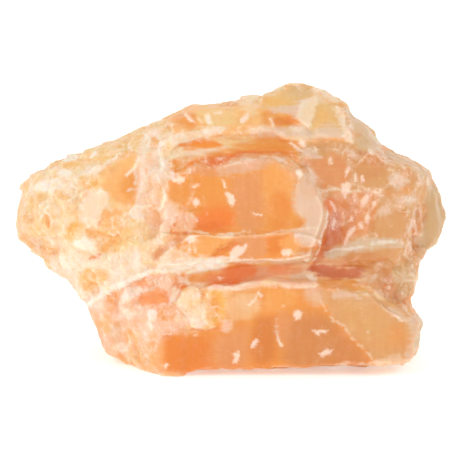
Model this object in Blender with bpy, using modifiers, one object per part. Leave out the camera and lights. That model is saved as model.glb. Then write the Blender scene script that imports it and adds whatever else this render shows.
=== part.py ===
# Rough orange calcite: one broken block of banded stone, standing on a flat underside
#
# X runs across the front from left to right, Y from the front to the back, and Z up, in metres.
# The origin is the centre of the underside. The stone is one piece: lumps that follow its beds
# and its cleavage are merged into one body, which is then chipped as the real one was broken.

from typing import NamedTuple

import bmesh
import bpy
import numpy as np
from mathutils import Vector, noise

MM = 0.001

# The longest side in millimetres. The outlines below are in millimetres too, close to this length
LENGTH = 120.0

# Spacing of the points of the skin, before and after the breaks, and how many triangles are kept
GRID = 0.9
FINE_GRID = 0.75
TRIANGLES = 8600

# How far straight edges stray, and over what length
WAVER = 0.9
WAVER_SIZE = 9.0
WAVER_SEED = 6

# How ragged the rim of a flat break is, as a share of its reach, and over what length
RIM_WAVER = 0.2
RIM_WAVER_SIZE = 5.0

# Chips in two sizes: width, depth and how far each turns towards the cleavage
COARSE_CHIPS = (14.0, 1.7, 0.6)
FINE_CHIPS = (5.5, 0.55, 0.5)
COARSE_SEED = 3
FINE_SEED = 4

# How far a chip tilts from its plane, how loosely it picks one, and its lift as shares of its depth
CHIP_TILT = 0.1
CLEAVAGE_CHOICE = 0.18
LEAST_LIFT = -0.5
MOST_LIFT = 0.3

# Patches of rubble about this wide lie between calmer ones, and clean faces are hardly chipped
RUBBLE_SIZE = 16.0
LEAST_RUBBLE = 0.25
MEAN_RUBBLE = 0.5
RUBBLE_CONTRAST = 2.2
CLEAN_BREAK = 0.12

# Calcite parts along three planes, each turned this far from the axis that they share
CLEAVAGE_LEAN = 44.6

# Grooves are cut only in the front, in front of this depth, and have walls this steep
GROOVE_BACK = -4.0
GROOVE_WALL = 2.5

# The most that a normal's y may be on what a groove cuts, and on a clean face of the front
GROOVED_FACING = 0.3
CLEAN_FACING = -0.4

# The look of a plain clean break
STONE_COLOUR = (0.86, 0.39, 0.13, 1.0)
STONE_ROUGHNESS = 0.35


class Lump(NamedTuple):
    """An outline in the front view, (x, z), carried back through sections of (y, scale).

    The lean tips the first section back, by so much for each millimetre to the right and up.
    The front of a clean lump is a smooth cleavage face."""

    name: str
    outline: list
    sections: list
    lean: tuple = (0.0, 0.0)
    clean: bool = False


class Shave(NamedTuple):
    """A flat break: what stands above the plane, within reach of the centre, is gone."""

    centre: tuple
    facing: tuple
    reach: float


class Groove(NamedTuple):
    """A gap that runs along points (x, z) of the front, cut towards the back."""

    path: list
    width: float
    depth: float


# The five lumps of the core meet inside, and give the outline seen from the front
CORE = [
    Lump(
        "left_wing",
        [(-61, 39), (-62, 44), (-58.5, 48.5), (-54, 50.5), (-48.5, 54), (-43.5, 56.5), (-34, 59.5),
         (-28.5, 60.5), (-22, 63.5), (-8, 65.5), (-7, 24), (-30.5, 21), (-44.5, 20.5), (-49, 23),
         (-51.5, 26.5), (-56, 30.5), (-60, 32.5)],
        [(-17, 0.74), (-9, 0.93), (-2, 1.0), (6, 0.94), (16, 0.7)],
    ),
    Lump(
        "crown",
        [(-31, 60.5), (-25.5, 63.2), (-19, 66), (-14.5, 68), (-11, 70), (-2, 70), (3, 71), (6.5, 72),
         (9.5, 72.8), (12, 74.8), (20.5, 75.6), (25.5, 74.4), (31, 70.3), (34.5, 66), (38.5, 63.5), (41, 59),
         (44.5, 40), (20, 28), (-8.5, 28), (-28, 40)],
        [(-15, 0.8), (-6, 0.95), (2, 1.0), (9, 0.93), (23, 0.7)],
    ),
    Lump(
        "right_shoulder",
        [(33, 63), (37.5, 63), (41.5, 59), (46.5, 56), (51.5, 54), (57, 51), (59.5, 47), (60, 43),
         (60, 37), (57.5, 32.5), (53.5, 28.5), (51.5, 26), (50.5, 21.5), (51.5, 18.5), (44.5, 12.5),
         (31, 11), (19.5, 29), (22, 51)],
        [(-16, 0.84), (-7, 0.95), (2, 1.0), (9, 0.95), (19, 0.74)],
    ),
    Lump(
        "foot",
        [(-45, 21), (-42, 17.5), (-39.5, 13.5), (-37.5, 9), (-35.5, 3), (-29, -4), (50, -4), (51.5, 0),
         (52.5, 5), (54.5, 10.5), (44.5, 15.5), (48, 24), (20, 36), (-33, 33)],
        [(-21, 0.9), (-10, 0.97), (0, 1.0), (14, 0.95), (27, 0.84)],
    ),
    Lump(
        "heart",
        [(-38, 26), (-24, 56), (-4, 62), (22, 62), (38, 48), (42, 16), (20, -4), (-24, -4)],
        [(-20, 0.9), (0, 1.0), (18, 1.0), (32, 0.76)],
    ),
]

# The plates that stand proud on the front, each a bed or a cleavage slab with a broken rim
PLATES = [
    Lump(
        "lower_slab",
        [(-26, 12.5), (-21.5, 19.5), (-10.5, 23.5), (-1.5, 25), (8.5, 26.5), (24, 25), (32, 20.5),
         (40.5, 12.5), (40.5, 2.5), (18, 2.2), (2.5, 1.5), (-6.5, 1.2), (-18, -2), (-24, -1)],
        [(-27, 0.96), (-26, 1.0), (-4, 1.04)],
        clean=True,
    ),
    Lump(
        "lower_slab_right",
        [(25.5, 24.5), (31, 25), (38, 23.5), (41, 20.5), (47, 16.5), (51.5, 15), (50.5, 10.5), (49.5, 4),
         (47, 2), (38.5, 1.5), (33.5, 8), (28.5, 11.5), (25.5, 19.5)],
        [(-27.4, 0.97), (-26.6, 1.0), (-2, 1.02)],
        (0.12, 0.05),
        clean=True,
    ),
    Lump(
        "yellow_lump",
        [(-14.5, 20), (-10.5, 24), (-4.5, 25), (2.5, 24.5), (3, 21), (0.5, 14), (-2, 12.5), (-6.5, 12),
         (-10.5, 12.5), (-11, 17)],
        [(-28.6, 0.7), (-27.4, 1.0), (-20, 1.2)],
        (-0.05, 0.1),
    ),
    Lump(
        "front_block",
        [(-12, 54.5), (-8, 57), (-4.5, 56.5), (1, 57.5), (6.5, 59), (14, 59.5), (17.5, 56.5),
         (20.5, 54), (24, 50), (25.5, 49), (26.5, 43.5), (24.5, 37), (23.5, 33), (-19, 33), (-19, 46),
         (-17, 52)],
        [(-23.5, 0.97), (-22.5, 1.0), (-8, 1.05)],
        (0.0, 0.05),
        clean=True,
    ),
    Lump(
        "front_block_bed",
        [(-24, 38), (-8, 38.5), (8, 39), (24.5, 39.5), (23.5, 33.5), (20.5, 28.5), (16, 29.5),
         (2.5, 30), (-6.5, 29.5), (-19, 29), (-24, 30.5)],
        [(-25, 0.98), (-24.2, 1.0), (-10, 1.03)],
        clean=True,
    ),
    Lump(
        "bed_wedge",
        [(-17.5, 38), (1.5, 38), (-6.5, 30.5), (-18.5, 29)],
        [(-26.2, 0.94), (-25.5, 1.0), (-20, 1.1)],
        clean=True,
    ),
    Lump(
        "cap",
        [(7, 71.4), (9.8, 73.2), (12.5, 75.2), (20.5, 76.4), (26, 75), (31.5, 71.4), (33, 61),
         (22.5, 64.5), (15.5, 67), (8.5, 69.5)],
        [(-11.5, 0.86), (-8, 1.0), (4, 1.0)],
        (0.0, 0.3),
        clean=True,
    ),
    Lump(
        "right_face",
        [(33, 59), (36.5, 56.5), (45, 56), (50, 54), (52.5, 50), (52.5, 35), (48.5, 37), (48, 32),
         (44.5, 29), (32.5, 29), (31, 42), (32, 48.5)],
        [(-17.5, 0.93), (-15.5, 1.0), (-2, 1.08)],
        (0.14, 0.16),
        clean=True,
    ),
    Lump(
        "right_brow",
        [(31, 50), (31, 62), (36.5, 63), (41.5, 58.5), (47, 55.5), (52, 53), (55, 49), (52.5, 45)],
        [(-14.5, 0.94), (-12.5, 1.0), (2, 1.0)],
        (0.12, 0.55),
        clean=True,
    ),
    Lump(
        "right_knob",
        [(40, 29), (44.5, 31), (48, 32), (50.5, 29), (50, 25), (50.5, 21.5), (48.5, 18), (45, 19),
         (41, 22.5)],
        [(-16.5, 0.86), (-15, 1.0), (-4, 1.1)],
        (0.1, 0.0),
    ),
    Lump(
        "left_foot",
        [(-35.5, 16), (-32.5, 21), (-21.5, 26), (-11, 28), (-11, 19), (-12, -3), (-24, -3),
         (-28.5, 0.5), (-33.5, 4), (-35.5, 9.5)],
        [(-25, 0.9), (-22.5, 1.0), (0, 1.06)],
        (-0.25, 0.1),
    ),
    Lump(
        "flank",
        [(-46.5, 25.5), (-38.5, 28), (-22, 28), (-22, 22), (-33, 20), (-38.5, 16), (-42.5, 20)],
        [(-13, 0.88), (-11, 1.0), (0, 1.06)],
        (-0.2, 0.0),
    ),
    Lump(
        "cream_shelf",
        [(-35, 29.5), (-32.5, 32.5), (-19, 36.5), (-17.5, 29.5), (-21, 26), (-30, 23), (-36.5, 26)],
        [(-20, 0.86), (-18.5, 1.0), (-8, 1.1)],
        (-0.2, 0.1),
    ),
]

# Three slabs that step the back, as the stone parted along its cleavage
BACK = [
    Lump(
        "back_foot",
        [(-29, 3), (-34, 15), (-21, 27), (8, 25), (30, 19), (43, 7), (38, -4), (-22, -4)],
        [(8, 1.0), (28.5, 0.98), (30.5, 0.92)],
    ),
    Lump(
        "back_block",
        [(-7, 22), (-12, 43), (2, 56), (24, 55), (39, 42), (36, 24), (14, 15)],
        [(4, 1.05), (26.5, 1.0), (28, 0.96)],
    ),
    Lump(
        "back_wing",
        [(-45, 29), (-49, 41), (-37, 52), (-14, 55), (-7, 34), (-22, 23)],
        [(2, 1.04), (16.5, 1.0), (18, 0.94)],
    ),
]

# Flat breaks, placed by hand: first those that shape the front, then the sides, back and underside
SHAVES = [
    Shave((0, -5, 71), (0.05, -0.58, 0.81), 34),
    Shave((20, -8, 70), (0.1, -0.82, 0.57), 9),
    Shave((37, -3, 66), (0.62, -0.35, 0.7), 12),
    Shave((-40, -12, 52), (-0.35, -0.62, 0.7), 24),
    Shave((-52, -8, 44), (-0.7, -0.66, 0.28), 17),
    Shave((-48, -9, 32), (-0.55, -0.7, -0.45), 16),
    Shave((-31, -19, 45), (-0.1, -0.98, 0.15), 12),
    Shave((54, -8, 42), (0.78, -0.62, 0.05), 18),
    Shave((51, -12, 8), (0.86, -0.5, 0.05), 12),
    Shave((-30, -16, 8), (-0.72, -0.66, -0.2), 18),
    Shave((40, 12, 60), (0.6, 0.45, 0.66), 24),
    Shave((46, 12, 42), (0.8, 0.6, 0.12), 15),
    Shave((41, 21, 20), (0.66, 0.74, -0.1), 22),
    Shave((20, 26, 52), (0.25, 0.7, 0.67), 24),
    Shave((-10, 20, 57), (-0.1, 0.66, 0.75), 24),
    Shave((-38, 12, 49), (-0.42, 0.66, 0.62), 22),
    Shave((-53, 8, 38), (-0.82, 0.55, 0.1), 13),
    Shave((-35, 20, 16), (-0.68, 0.7, -0.2), 20),
    Shave((2, 31, 24), (0.04, 0.98, 0.16), 20),
    Shave((8, 30, 8), (0.1, 0.93, -0.35), 48),
    Shave((20, -27, 2.2), (0.035, -0.16, -0.98), 32),
]

# Gaps on the front: between the beds, down the cleft and under the overhangs
GROOVES = [
    Groove([(-24, 23), (-12, 26), (-4, 27.5), (8, 28.4), (19, 28.4), (24, 27.6), (31, 26.4), (40, 25)],
           2.9, 4.2),
    Groove([(15.5, 59), (21, 55), (25.5, 50.5), (28.6, 46), (28.8, 40), (27.2, 34.5), (24.5, 28.5)],
           3.0, 3.6),
    Groove([(-14, 57.5), (-8, 60.3), (1.5, 61.3), (12, 62)], 2.0, 2.4),
    Groove([(-40, 29.5), (-35.5, 31.5), (-32, 34), (-21.5, 38)], 1.3, 2.4),
    Groove([(37, 24.5), (42, 20), (52, 14)], 1.5, 3.0),
]


def clear_scene():
    for obj in list(bpy.data.objects):
        bpy.data.objects.remove(obj, do_unlink=True)


def add_lump(bm, lump):
    """Extrudes the outline from section to section and closes both ends."""
    centre = np.mean(lump.outline, axis=0)
    front = lump.sections[0][0]
    back = lump.sections[-1][0]
    rings = []
    for y, scale in lump.sections:
        flat = centre + (np.array(lump.outline) - centre) * scale
        tilt = (flat - centre) @ np.array(lump.lean)
        share = (back - y) / (back - front)
        rings.append([Vector((x, y + share * t, z)) for (x, z), t in zip(flat, tilt)])
    face = bm.faces.new([bm.verts.new(place) for place in rings[0]])
    for ring in rings[1:]:
        grown = bmesh.ops.extrude_face_region(bm, geom=[face])["geom"]
        face = next(item for item in grown if isinstance(item, bmesh.types.BMFace))
        for vert, place in zip(face.verts, ring):
            vert.co = place


def rough_body():
    """All the lumps in one mesh, still overlapping."""
    bm = bmesh.new()
    for lump in CORE + PLATES + BACK:
        add_lump(bm, lump)
    bmesh.ops.recalc_face_normals(bm, faces=bm.faces)
    mesh = bpy.data.meshes.new("orange_calcite")
    bm.to_mesh(mesh)
    bm.free()
    return mesh


def apply_modifiers(obj):
    graph = bpy.context.evaluated_depsgraph_get()
    mesh = bpy.data.meshes.new_from_object(obj.evaluated_get(graph))
    obj.modifiers.clear()
    obj.data = mesh


def drop_crumbs(bm):
    """Removes loose bits, so that one body is left."""
    bodies = []
    unseen = set(bm.verts)
    while unseen:
        body = set()
        waiting = [unseen.pop()]
        while waiting:
            vert = waiting.pop()
            body.add(vert)
            near = {edge.other_vert(vert) for edge in vert.link_edges} & unseen
            unseen -= near
            waiting.extend(near)
        bodies.append(body)
    largest = max(bodies, key=len)
    crumbs = [vert for body in bodies if body is not largest for vert in body]
    bmesh.ops.delete(bm, geom=crumbs, context="VERTS")


def merge(obj, grid):
    """One skin around everything, with points about every grid millimetres."""
    remesh = obj.modifiers.new("one_skin", "REMESH")
    remesh.mode = "VOXEL"
    remesh.voxel_size = grid
    apply_modifiers(obj)
    bm = bmesh.new()
    bm.from_mesh(obj.data)
    drop_crumbs(bm)
    bm.to_mesh(obj.data)
    bm.free()


def points_of(obj):
    flat = np.empty(len(obj.data.vertices) * 3)
    obj.data.vertices.foreach_get("co", flat)
    return flat.reshape(-1, 3)


def normals_of(obj):
    flat = np.empty(len(obj.data.vertices) * 3)
    obj.data.vertex_normals.foreach_get("vector", flat)
    return flat.reshape(-1, 3)


def set_points(obj, points):
    obj.data.vertices.foreach_set("co", points.ravel())
    obj.data.update()


def raggedness(points, size):
    """Smooth noise from -1 to 1 whose waves are about size millimetres long."""
    return np.array([noise.noise(Vector(p) / size) for p in points])


def waver(points):
    """Bends every straight edge a little, so that nothing looks cut with a saw."""
    noise.seed_set(WAVER_SEED)
    drift = np.array([noise.noise_vector(Vector(p) / WAVER_SIZE) for p in points])
    points += WAVER * drift * (1, 0.5, 1)


def shave(points, cut):
    """Moves what stands above the plane of a flat break down to it, inside a ragged rim."""
    facing = np.array(cut.facing) / np.linalg.norm(cut.facing)
    away = points - np.array(cut.centre)
    height = away @ facing
    aside = np.linalg.norm(away - np.outer(height, facing), axis=1)
    near = np.flatnonzero((height > 0) & (aside < cut.reach * (1 + RIM_WAVER)))
    rim = cut.reach * (1 + RIM_WAVER * raggedness(points[near], RIM_WAVER_SIZE))
    near = near[aside[near] < rim]
    points[near] -= np.outer(height[near], facing)


def distance_to_path(flat, path):
    """The distance of each point (x, z) from a line through the path's points."""
    nearest = np.full(len(flat), np.inf)
    for a, b in zip(np.array(path[:-1]), np.array(path[1:])):
        run = b - a
        along = np.clip((flat - a) @ run / (run @ run), 0, 1)
        nearest = np.minimum(nearest, np.linalg.norm(flat - a - np.outer(along, run), axis=1))
    return nearest


def cut_grooves(points, normals):
    """Sinks the front along each groove, no deeper where two of them meet."""
    on_front = (points[:, 1] < GROOVE_BACK) & (normals[:, 1] < GROOVED_FACING)
    sunk = np.zeros(len(points))
    for groove in GROOVES:
        aside = distance_to_path(points[:, [0, 2]], groove.path)
        share = np.clip(1 - aside / groove.width, 0, 1) * on_front
        sunk = np.maximum(sunk, groove.depth * np.minimum(1, GROOVE_WALL * share))
    points[:, 1] += sunk


def inside(flat, outline):
    """Which of the points (x, z) lie within the outline."""
    x, z = flat.T
    within = np.zeros(len(flat), bool)
    for (x1, z1), (x2, z2) in zip(outline, outline[1:] + outline[:1]):
        if z1 != z2:
            within ^= ((z1 > z) != (z2 > z)) & (x < x1 + (z - z1) * (x2 - x1) / (z2 - z1))
    return within


def roughness_of(points, normals):
    """How deeply each point is chipped: fully in rubble, and hardly on the clean faces of the front."""
    rough = np.ones(len(points))
    for lump in PLATES:
        if lump.clean:
            near = points[:, 1] < lump.sections[-1][0]
            face = inside(points[:, [0, 2]], lump.outline) & near & (normals[:, 1] < CLEAN_FACING)
            rough[face] = CLEAN_BREAK
    patches = MEAN_RUBBLE + RUBBLE_CONTRAST * raggedness(points, RUBBLE_SIZE)
    return rough * np.clip(patches, LEAST_RUBBLE, 1)


def cleavage_planes():
    """Calcite's three cleavage normals, 75 degrees apart, set near the front, the top and the right."""
    axis = np.array((1.0, -1.0, 1.0)) / np.sqrt(3)
    lean = np.radians(CLEAVAGE_LEAN)
    planes = []
    for towards in ((0, -1, 0), (0, 0, 1), (1, 0, 0)):
        aside = np.array(towards) - axis * (axis @ towards)
        planes.append(np.cos(lean) * axis + np.sin(lean) * aside / np.linalg.norm(aside))
    return np.array(planes)


def cells_of(points, size, rng):
    """The number of the cell, about size millimetres across, that each point lies in."""
    shift = Vector(rng.uniform(-50, 50, 3))
    centres = [noise.voronoi(Vector(p) / size + shift)[1][0] for p in points]
    _, cell = np.unique(np.round(np.array(centres), 4), axis=0, return_inverse=True)
    return cell.reshape(-1)


def mean_of(cell, values):
    """The mean of the values in each cell, for each of their three columns."""
    sums = [np.bincount(cell, values[:, column]) for column in range(3)]
    return np.stack(sums, axis=1) / np.bincount(cell)[:, None]


def unit(vectors):
    return vectors / (np.linalg.norm(vectors, axis=1, keepdims=True) + 1e-9)


def chip(points, normals, size, depth, turn, rng):
    """Breaks the surface into flat chips about size millimetres across, turned towards the cleavage."""
    cell = cells_of(points, size, rng)
    middle = mean_of(cell, points)
    facing = unit(mean_of(cell, normals))
    planes = np.concatenate([cleavage_planes(), -cleavage_planes()])
    choice = facing @ planes.T + rng.normal(0, CLEAVAGE_CHOICE, (len(middle), len(planes)))
    target = planes[np.argmax(choice, axis=1)]
    flat = unit(facing * (1 - turn) + target * turn + rng.normal(0, CHIP_TILT, target.shape))
    lift = rng.uniform(LEAST_LIFT, MOST_LIFT, len(middle)) * depth
    rise = lift[cell] - np.einsum("ij,ij->i", points - middle[cell], flat[cell])
    push = np.clip(rise, -depth, 0.5 * depth) * roughness_of(points, normals)
    points += flat[cell] * push[:, None]


def break_up(obj):
    """The breaks and gaps that are placed by hand."""
    points = points_of(obj)
    waver(points)
    for cut in SHAVES:
        shave(points, cut)
    cut_grooves(points, normals_of(obj))
    set_points(obj, points)


def chip_all_over(obj, chips, seed):
    points = points_of(obj)
    chip(points, normals_of(obj), *chips, np.random.default_rng(seed))
    set_points(obj, points)


def thin_out(obj):
    triangulate = obj.modifiers.new("triangles", "TRIANGULATE")
    triangulate.quad_method = "SHORTEST_DIAGONAL"
    apply_modifiers(obj)
    decimate = obj.modifiers.new("fewer_faces", "DECIMATE")
    decimate.ratio = TRIANGLES / len(obj.data.polygons)
    apply_modifiers(obj)


def flatten_underside(obj):
    """Cuts the stone off flat at the ground and closes the cut with one face."""
    bm = bmesh.new()
    bm.from_mesh(obj.data)
    everything = bm.verts[:] + bm.edges[:] + bm.faces[:]
    cut = bmesh.ops.bisect_plane(
        bm, geom=everything, plane_co=(0, 0, 0), plane_no=(0, 0, 1), clear_inner=True
    )
    rim = [item for item in cut["geom_cut"] if isinstance(item, bmesh.types.BMEdge)]
    bmesh.ops.holes_fill(bm, edges=rim)
    bmesh.ops.triangulate(bm, faces=[face for face in bm.faces if len(face.verts) > 3])
    drop_crumbs(bm)
    bmesh.ops.recalc_face_normals(bm, faces=bm.faces)
    bm.to_mesh(obj.data)
    bm.free()


def set_in_place(obj):
    """Scales to the stated length and puts the origin under the middle, in metres."""
    points = points_of(obj)
    low, high = points.min(axis=0), points.max(axis=0)
    points -= (low + high) / 2 * (1, 1, 0) + low * (0, 0, 1)
    set_points(obj, points * LENGTH / (high - low)[0] * MM)


def stone_material():
    material = bpy.data.materials.new("orange_calcite")
    material.use_nodes = True
    shader = material.node_tree.nodes["Principled BSDF"]
    shader.inputs["Base Color"].default_value = STONE_COLOUR
    shader.inputs["Roughness"].default_value = STONE_ROUGHNESS
    shader.inputs["Metallic"].default_value = 0.0
    return material


def main():
    clear_scene()
    parts = bpy.data.collections.new("orange_calcite")
    bpy.context.scene.collection.children.link(parts)
    stone = bpy.data.objects.new("orange_calcite", rough_body())
    parts.objects.link(stone)
    merge(stone, GRID)
    break_up(stone)
    merge(stone, FINE_GRID)
    chip_all_over(stone, COARSE_CHIPS, COARSE_SEED)
    chip_all_over(stone, FINE_CHIPS, FINE_SEED)
    thin_out(stone)
    flatten_underside(stone)
    set_in_place(stone)
    stone.data.materials.clear()
    stone.data.materials.append(stone_material())


main()
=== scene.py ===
# A rough block of banded orange calcite on a pale floor, in soft studio light
#
# Metres, with X to the right across the front, Y from front to back and Z up.

import bmesh
import bpy
import numpy as np
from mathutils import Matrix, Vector, noise


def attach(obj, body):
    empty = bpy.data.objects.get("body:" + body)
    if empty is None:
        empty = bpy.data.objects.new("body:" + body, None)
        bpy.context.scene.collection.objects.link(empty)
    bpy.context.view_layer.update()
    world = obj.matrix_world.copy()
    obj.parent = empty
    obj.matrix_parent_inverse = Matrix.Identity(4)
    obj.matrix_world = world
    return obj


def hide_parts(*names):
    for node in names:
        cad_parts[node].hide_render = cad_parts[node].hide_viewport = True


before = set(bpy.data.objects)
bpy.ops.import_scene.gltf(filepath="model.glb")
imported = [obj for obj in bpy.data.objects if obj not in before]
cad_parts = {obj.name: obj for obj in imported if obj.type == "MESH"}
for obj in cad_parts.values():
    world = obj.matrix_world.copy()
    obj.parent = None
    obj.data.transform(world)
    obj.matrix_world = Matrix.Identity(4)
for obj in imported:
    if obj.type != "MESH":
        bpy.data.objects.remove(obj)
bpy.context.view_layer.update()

# The camera looks at the front from a little above, as the photo does. The stone's markings are
# placed through it too, in pixels of the photo, so it comes first.
FRAME_SIZE = 460
SENSOR = 36.0
LENS = 197.0
FOCAL_PIXELS = LENS / SENSOR * FRAME_SIZE
CAMERA_DISTANCE = 0.7
CAMERA_RISE = np.radians(9.0)
TARGET = np.array((0.0, 0.0, 0.0352))

sight = np.array((0.0, np.cos(CAMERA_RISE), -np.sin(CAMERA_RISE)))
upward = np.array((0.0, np.sin(CAMERA_RISE), np.cos(CAMERA_RISE)))
eye = TARGET - CAMERA_DISTANCE * sight

camera_data = bpy.data.cameras.new("camera")
camera_data.sensor_width = SENSOR
camera_data.lens = LENS
camera = bpy.data.objects.new("camera", camera_data)
camera.location = eye
camera.rotation_euler = Vector(sight).to_track_quat("-Z", "Y").to_euler()
bpy.context.scene.collection.objects.link(camera)
bpy.context.scene.camera = camera


# The stone is one rough piece of banded orange calcite, broken from a larger mass and left as it
# broke. Its skin starts from the solid's own form, on a fine grid of so many millimetres, and is
# thinned out later where the front doesn't show it.
MM = 0.001
SKIN_GRID = 0.42
SOFTENING = 3
MOST_TRIANGLES = 194000


def apply_modifiers(obj):
    graph = bpy.context.evaluated_depsgraph_get()
    mesh = bpy.data.meshes.new_from_object(obj.evaluated_get(graph))
    obj.modifiers.clear()
    obj.data = mesh


def points_of(obj):
    """The stone's points in millimetres."""
    flat = np.empty(len(obj.data.vertices) * 3)
    obj.data.vertices.foreach_get("co", flat)
    return flat.reshape(-1, 3) / MM


def set_points(obj, points):
    obj.data.vertices.foreach_set("co", (points * MM).ravel())
    obj.data.update()


def normals_of(obj):
    flat = np.empty(len(obj.data.vertices) * 3)
    obj.data.vertex_normals.foreach_get("vector", flat)
    return flat.reshape(-1, 3)


def edges_of(obj):
    flat = np.empty(len(obj.data.edges) * 2, int)
    obj.data.edges.foreach_get("vertices", flat)
    return flat.reshape(-1, 2)


def softened(values, edges, rounds):
    """Each value averaged with its neighbours', so many times."""
    count = np.bincount(edges.ravel(), minlength=len(values))[:, None] + 1
    for _ in range(rounds):
        total = values.copy()
        for column in range(values.shape[1]):
            total[:, column] += np.bincount(edges[:, 0], values[edges[:, 1], column], len(values))
            total[:, column] += np.bincount(edges[:, 1], values[edges[:, 0], column], len(values))
        values = total / count
    return values


# The seam below the block is not as deep as the solid's, so a bed of stone fills its back. At
# each place across, in pixels: its upper and lower row in pixels, and where its face stands at
# both, in millimetres. Between the two rows the face is a little hollow.
SEAM_BED = [
    (158, 262, 300, -25.3, -26.3), (175, 262, 297, -25.9, -26.4), (200, 262, 293, -26.2, -26.9),
    (225, 258, 291, -25.5, -27.1), (250, 256, 289, -25.2, -26.9), (280, 256, 287, -25.2, -26.6),
    (300, 256, 289, -24.4, -25.8), (315, 252, 291, -21.4, -24.3), (345, 260, 291, -20.7, -23.8),
    (370, 262, 293, -20.4, -22.6), (390, 262, 292, -19.8, -20.9),
]
SEAM_HOLLOW = 0.7
SEAM_BACK = -10.0


def placed(across, down, depth):
    """The point, in metres, that the camera sees at a place and that lies at a depth in millimetres."""
    right = (across - FRAME_SIZE / 2) / FOCAL_PIXELS
    ray = sight + (right, 0, 0) - upward * ((down - FRAME_SIZE / 2) / FOCAL_PIXELS)
    return eye + ray * (depth * MM - eye[1]) / ray[1]


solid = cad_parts["orange_calcite"]
stone = bpy.data.objects.new("calcite_stone", solid.data.copy())
bpy.context.scene.collection.objects.link(stone)
bm = bmesh.new()
bm.from_mesh(stone.data)
bmesh.ops.remove_doubles(bm, verts=bm.verts, dist=0.001 * MM)
rings = []
for across, top, bottom, face_top, face_bottom in SEAM_BED:
    hollow = ((top + bottom) / 2, (face_top + face_bottom) / 2 + SEAM_HOLLOW)
    corners = [(top, face_top), hollow, (bottom, face_bottom), (bottom, SEAM_BACK), (top, SEAM_BACK)]
    rings.append([bm.verts.new(placed(across, down, depth)) for down, depth in corners])
walls = [bm.faces.new(rings[0]), bm.faces.new(rings[-1])]
for ring, ahead in zip(rings, rings[1:]):
    for side in range(len(ring)):
        after = (side + 1) % len(ring)
        walls.append(bm.faces.new((ring[side], ring[after], ahead[after], ahead[side])))
bmesh.ops.recalc_face_normals(bm, faces=walls)
bm.to_mesh(stone.data)
bm.free()
remesh = stone.modifiers.new("one_skin", "REMESH")
remesh.mode = "VOXEL"
remesh.voxel_size = SKIN_GRID * MM
apply_modifiers(stone)
points = softened(points_of(stone), edges_of(stone), SOFTENING)
set_points(stone, points)


# The front is worked on by what the camera sees of it: where each point of the skin lies in the
# photo, in pixels, and how far that is inside an outline or from a line.
def seen(points):
    """The place in the photo of each point in millimetres."""
    away = points * MM - eye
    depth = away @ sight
    across = FRAME_SIZE / 2 + FOCAL_PIXELS * away[:, 0] / depth
    down = FRAME_SIZE / 2 - FOCAL_PIXELS * (away @ upward) / depth
    return np.stack((across, down), axis=1)


def rounded(outline):
    """The closed outline with its corners cut twice, so that it has no straight edges."""
    corners = np.array(outline, float)
    for _ in range(2):
        ahead = np.roll(corners, -1, axis=0)
        pairs = np.stack((0.75 * corners + 0.25 * ahead, 0.25 * corners + 0.75 * ahead), axis=1)
        corners = pairs.reshape(-1, 2)
    return corners


def depth_inside(places, outline):
    """How many pixels each place lies inside a closed outline, and less than 0 outside it."""
    nearest = np.full(len(places), np.inf)
    within = np.zeros(len(places), bool)
    for a, b in zip(outline, np.roll(outline, -1, axis=0)):
        run = b - a
        share = np.clip((places - a) @ run / (run @ run), 0, 1)
        nearest = np.minimum(nearest, np.linalg.norm(places - a - np.outer(share, run), axis=1))
        if a[1] != b[1]:
            crosses = (a[1] > places[:, 1]) != (b[1] > places[:, 1])
            within ^= crosses & (places[:, 0] < a[0] + (places[:, 1] - a[1]) * run[0] / run[1])
    return np.where(within, nearest, -nearest)


def distance_to_path(places, path):
    """How many pixels each place lies from a line through the path's points."""
    nearest = np.full(len(places), np.inf)
    for a, b in zip(np.array(path[:-1], float), np.array(path[1:], float)):
        run = b - a
        share = np.clip((places - a) @ run / (run @ run), 0, 1)
        nearest = np.minimum(nearest, np.linalg.norm(places - a - np.outer(share, run), axis=1))
    return nearest


def step(values, low, high):
    """0 below low, 1 above high and a smooth rise between them."""
    share = np.clip((values - low) / (high - low), 0, 1)
    return share * share * (3 - 2 * share)


# The breaks. Calcite parts along three planes, so the rubble is chips of a few sizes that keep to
# them, and the cleavage faces are smooth. Between them beds stand proud and gaps lie open.
def drawn(text):
    """Reads a drawing: each shape is its settings, a colon and its corners in pixels of the photo."""
    shapes = []
    for shape in text.split(";"):
        *settings, corners = shape.split(":")
        settings = [word if word.isalpha() else float(word) for word in " ".join(settings).split()]
        shapes.append((*settings, np.array([corner.split(",") for corner in corners.split()], float)))
    return shapes


# Cleavage faces, on which the breaks hardly show
CALM_FACES = drawn("""
186,170 222,164 285,158 302,176 318,195 326,215 316,250 308,262 232,258 180,232 182,205 200,200;
205,288 300,286 345,283 372,288 422,318 420,368 300,380 155,384 155,334 205,334 226,312;
256,104 276,90 308,88 330,104 345,128 352,146 310,142 300,122 262,112;
350,108 376,134 380,152 355,150;
178,140 345,132 345,142 286,152 250,156 184,160;
300,150 345,148 352,188 322,188;
376,208 408,212 406,242 376,240;
345,252 400,250 400,262 350,264;
98,172 112,163 136,152 141,165 141,190 132,206 114,204 100,190;
139,298 148,290 158,289 168,296 168,301 158,304 147,306 141,303;
84,195 106,193 102,214 95,226 84,214;
164,118 190,103 240,99 262,107 300,115 302,127 262,127 225,127 180,132;
168,178 190,171 192,206 176,208 166,200;
424,190 440,186 448,222 436,240 420,262 420,240 427,222;
352,158 384,166 396,176 376,190 354,186;
186,264 372,258 372,284 186,288;
322,240 404,236 404,262 350,264 312,268;
188,240 262,236 300,236 312,256 232,259 196,262""")
# Places where the breaks are smaller and shallower than in the open rubble
CALMER_PLACES = drawn("""
318,186 372,184 372,236 340,250 312,272 308,256 318,236 326,212;
374,186 420,188 420,212 374,212;
300,138 350,138 352,152 300,152
""")
CALMER = 0.65
EVERYWHERE_CALM = 0.32
CALM_SOFTNESS = 4.0
CALM_CHIPS = 0.08

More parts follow.
